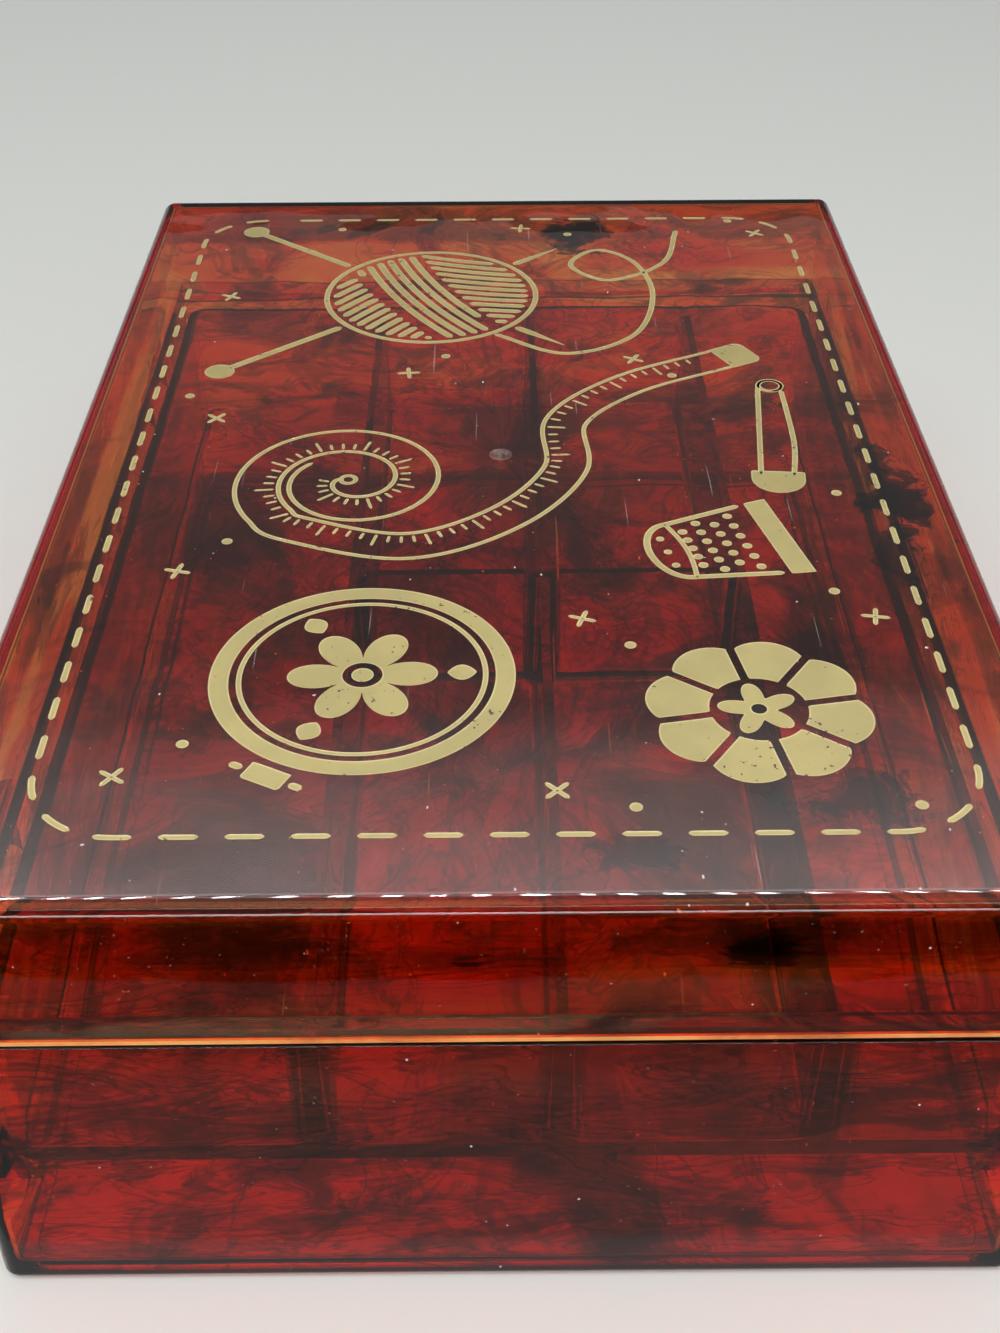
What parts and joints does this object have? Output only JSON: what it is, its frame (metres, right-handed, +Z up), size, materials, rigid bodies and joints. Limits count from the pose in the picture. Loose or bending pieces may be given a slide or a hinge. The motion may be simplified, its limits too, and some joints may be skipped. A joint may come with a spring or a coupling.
{
  "type": "sewing box",
  "caption": "Rectangular moulded plastic sewing box with a hinged lid and a lift-out compartment tray, in glossy translucent tortoiseshell.",
  "frame": {"origin": "bottom centre of the box that encloses the whole object, on the surface it stands on", "axes": "+X along the length, front with the thumb lip faces -Y, hinges at +Y, +Z up"},
  "size_m": [0.266, 0.1866, 0.0916],
  "materials": {
    "base_plastic": "glossy translucent red-amber tortoiseshell",
    "lid_plastic": "glossy translucent red-amber tortoiseshell",
    "tray_plastic": "glossy translucent red-amber tortoiseshell",
    "pin_steel": "plain bright wire",
    "gold_foil": "thin satin gold print on the lid"
  },
  "bodies": {
    "base": {"base_shell": "base_plastic", "left_hinge_pin": "pin_steel", "right_hinge_pin": "pin_steel"},
    "lid": {"lid_shell": "lid_plastic"},
    "tray": {"lift_out_tray": "tray_plastic"}
  },
  "joints": [
    {"name": "lid_hinge", "type": "hinge", "parent": "base", "child": "lid", "pos_m": [0, 0.09004, 0.06157], "axis": [-1, 0, 0], "range_deg": [0, 105]},
    {"name": "tray_lift", "type": "slide", "parent": "base", "child": "tray", "axis": [0, 0, 1], "range_m": [0, 0.0278]}
  ]
}
